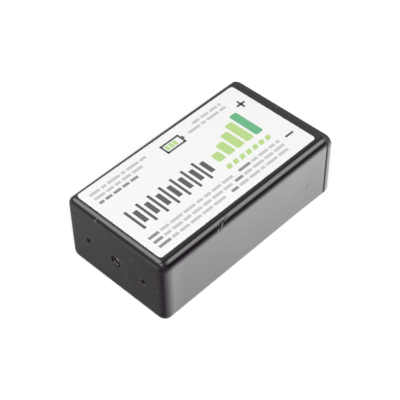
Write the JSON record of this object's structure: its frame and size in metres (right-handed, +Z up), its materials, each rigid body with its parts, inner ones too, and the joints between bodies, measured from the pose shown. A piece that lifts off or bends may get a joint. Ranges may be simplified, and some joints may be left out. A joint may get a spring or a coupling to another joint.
{
  "type": "nine volt battery",
  "caption": "Rechargeable nine volt block battery: moulded case with a label on its wide face, and a terminal cap with a snap stud and a snap socket.",
  "frame": {"origin": "under the middle of the overall length, terminals included, on the wide rest face", "axes": "+X along the length towards the snap terminals, +Z up through the label"},
  "size_m": [0.0486, 0.0254, 0.0156],
  "materials": {
    "case_plastic": "black, glossy on the long sides and fine matt on the closed end",
    "cap_plastic": "black, satin",
    "label_print": "coated white label with grey and green print",
    "board_fibre": "brown pressed fibre",
    "nickel_plate": "nickel plate",
    "cell_steel": "drawn plated steel",
    "sleeve_film": "blue shrunk film",
    "foam": "grey foam"
  },
  "bodies": {
    "root": {"case_tub": "case_plastic", "end_cap": "cap_plastic", "label": "label_print", "terminal_board": "board_fibre", "positive_stud": "nickel_plate", "negative_socket": "nickel_plate", "positive_rivet": "nickel_plate", "negative_rivet": "nickel_plate", "positive_lead": "nickel_plate", "negative_lead": "nickel_plate", "cell_1": "cell_steel", "cell_2": "cell_steel", "cell_3": "cell_steel", "cell_4": "cell_steel", "cell_5": "cell_steel", "cell_6": "cell_steel", "cell_7": "cell_steel", "cell_link_1": "nickel_plate", "cell_link_2": "nickel_plate", "cell_link_3": "nickel_plate", "cell_link_4": "nickel_plate", "cell_link_5": "nickel_plate", "cell_link_6": "nickel_plate", "stack_sleeve": "sleeve_film", "end_pad": "foam"}
  },
  "joints": []
}
